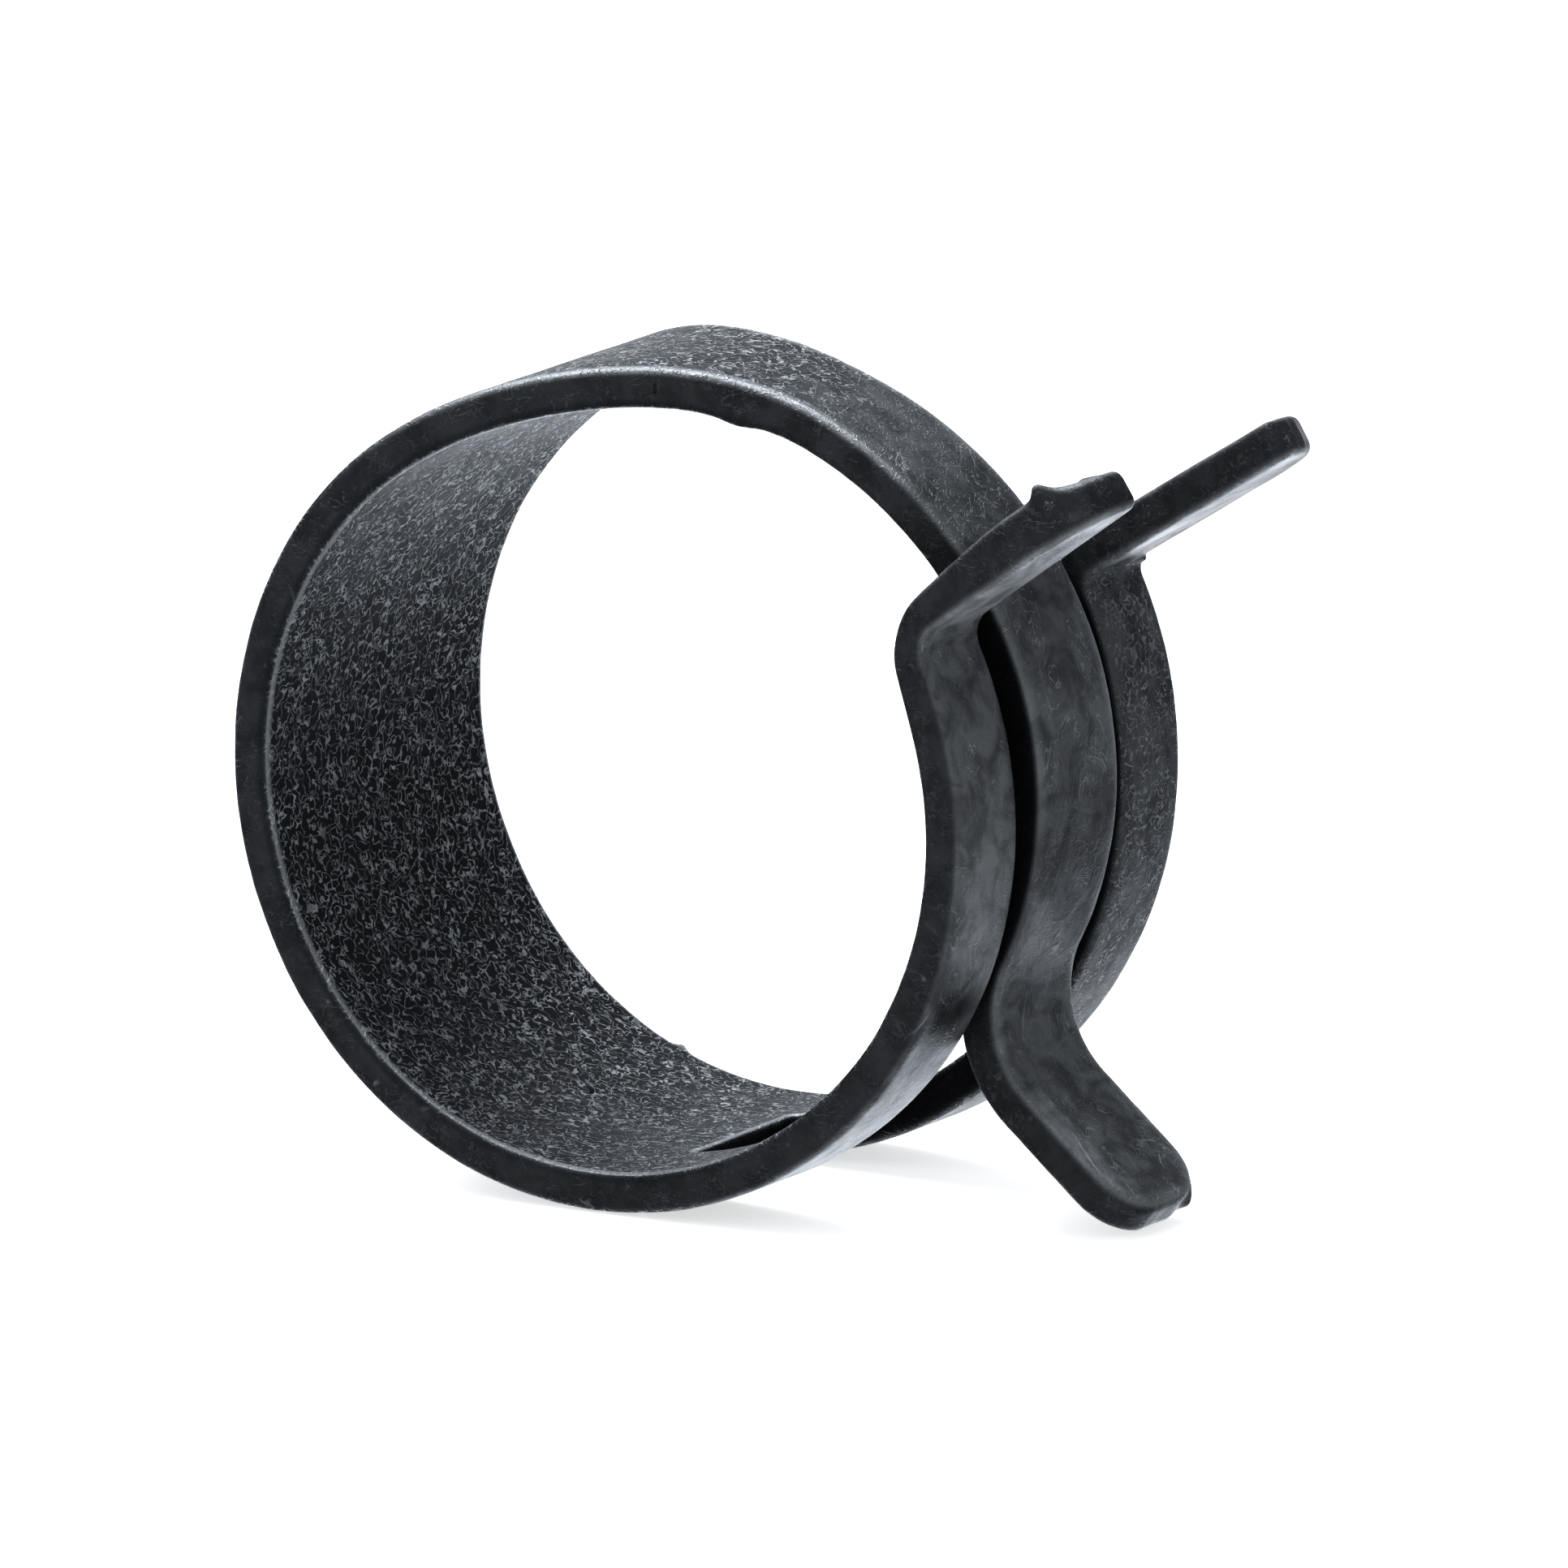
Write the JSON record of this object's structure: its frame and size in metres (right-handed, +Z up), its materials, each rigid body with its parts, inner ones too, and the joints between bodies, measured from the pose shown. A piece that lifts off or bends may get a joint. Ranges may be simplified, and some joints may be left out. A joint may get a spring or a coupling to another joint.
{
  "type": "hose clamp",
  "caption": "Spring band hose clamp: a rolled steel ring whose narrow tongue passes between two forked arms, with outward tabs that are squeezed to open it.",
  "frame": {"origin": "on the surface the clamp stands on, under the middle of its overall length and width", "axes": "+Y along the ring's axis from the front edge to the rear edge, +X from the back of the ring towards the tabs, +Z up"},
  "size_m": [0.0322, 0.012, 0.0252],
  "materials": {
    "black_oxide_steel": "black phosphate and oxide on spring steel, dry and slightly grainy, smoother on the tongue and the front arm"
  },
  "bodies": {
    "bottom": {"fork_crotch": "black_oxide_steel"},
    "lower": {"band_lower": "black_oxide_steel"},
    "back_lower": {"band_back_lower": "black_oxide_steel"},
    "back": {"band_back": "black_oxide_steel"},
    "back_upper": {"band_back_upper": "black_oxide_steel"},
    "upper": {"band_upper": "black_oxide_steel"},
    "top": {"band_top": "black_oxide_steel"},
    "shoulder": {"tongue_shoulder": "black_oxide_steel"},
    "tongue_root": {"tongue_upper": "black_oxide_steel"},
    "tongue_end": {"tongue_middle": "black_oxide_steel", "tongue_lower": "black_oxide_steel", "tongue_heel": "black_oxide_steel", "tongue_tab": "black_oxide_steel"},
    "arm_roots": {"front_arm_root": "black_oxide_steel", "rear_arm_root": "black_oxide_steel"},
    "arms": {"front_arm_lower": "black_oxide_steel", "rear_arm_lower": "black_oxide_steel"},
    "fork_end": {"front_arm_middle": "black_oxide_steel", "front_arm_upper": "black_oxide_steel", "front_heel": "black_oxide_steel", "front_tab": "black_oxide_steel", "rear_arm_middle": "black_oxide_steel", "rear_arm_upper": "black_oxide_steel", "rear_heel": "black_oxide_steel", "rear_tab": "black_oxide_steel"}
  },
  "joints": [
    {"name": "flex_lower", "type": "hinge", "parent": "bottom", "child": "lower", "pos_m": [-0.00711, 0, 0.00117], "axis": [0, -1, 0], "range_deg": [0, 3.35]},
    {"name": "flex_back_lower", "type": "hinge", "parent": "lower", "child": "back_lower", "pos_m": [-0.01223, 0, 0.0043], "axis": [0, -1, 0], "range_deg": [0, 4.4]},
    {"name": "flex_back", "type": "hinge", "parent": "back_lower", "child": "back", "pos_m": [-0.01518, 0, 0.00971], "axis": [0, -1, 0], "range_deg": [0, 5]},
    {"name": "flex_back_upper", "type": "hinge", "parent": "back", "child": "back_upper", "pos_m": [-0.01503, 0, 0.01587], "axis": [0, -1, 0], "range_deg": [0, 5], "stiffness_Nm_per_rad": 0.4},
    {"name": "flex_upper", "type": "hinge", "parent": "back_upper", "child": "upper", "pos_m": [-0.01181, 0, 0.02112], "axis": [0, -1, 0], "range_deg": [0, 4.4]},
    {"name": "flex_top", "type": "hinge", "parent": "upper", "child": "top", "pos_m": [-0.00609, 0, 0.02424], "axis": [0, -1, 0], "range_deg": [0, 4]},
    {"name": "flex_shoulder", "type": "hinge", "parent": "top", "child": "shoulder", "pos_m": [0.00095, 0, 0.02406], "axis": [0, -1, 0], "range_deg": [0, 5.1]},
    {"name": "flex_tongue_root", "type": "hinge", "parent": "shoulder", "child": "tongue_root", "pos_m": [0.00652, 0, 0.02066], "axis": [0, -1, 0], "range_deg": [0, 2.55]},
    {"name": "flex_tongue_end", "type": "hinge", "parent": "tongue_root", "child": "tongue_end", "pos_m": [0.00917, 0, 0.0158], "axis": [0, -1, 0], "range_deg": [0, 0.8001]},
    {"name": "flex_arm_roots", "type": "hinge", "parent": "bottom", "child": "arm_roots", "pos_m": [-0.00189, 0, 0.00076], "axis": [0, 1, 0], "range_deg": [0, 3.2]},
    {"name": "flex_arms", "type": "hinge", "parent": "arm_roots", "child": "arms", "pos_m": [0.00435, 0, 0.00335], "axis": [0, 1, 0], "range_deg": [0, 2.1]},
    {"name": "flex_fork_end", "type": "hinge", "parent": "arms", "child": "fork_end", "pos_m": [0.00824, 0, 0.00843], "axis": [0, 1, 0], "range_deg": [0, 0.7001]}
  ],
  "couplings": [
    {"joint": "flex_lower", "follows": "flex_back_upper", "ratio": 0.67},
    {"joint": "flex_back_lower", "follows": "flex_back_upper", "ratio": 0.88},
    {"joint": "flex_back", "follows": "flex_back_upper", "ratio": 1},
    {"joint": "flex_upper", "follows": "flex_back_upper", "ratio": 0.88},
    {"joint": "flex_top", "follows": "flex_back_upper", "ratio": 0.8},
    {"joint": "flex_shoulder", "follows": "flex_back_upper", "ratio": 1.02},
    {"joint": "flex_tongue_root", "follows": "flex_back_upper", "ratio": 0.51},
    {"joint": "flex_tongue_end", "follows": "flex_back_upper", "ratio": 0.16},
    {"joint": "flex_arm_roots", "follows": "flex_back_upper", "ratio": 0.64},
    {"joint": "flex_arms", "follows": "flex_back_upper", "ratio": 0.42},
    {"joint": "flex_fork_end", "follows": "flex_back_upper", "ratio": 0.14}
  ]
}
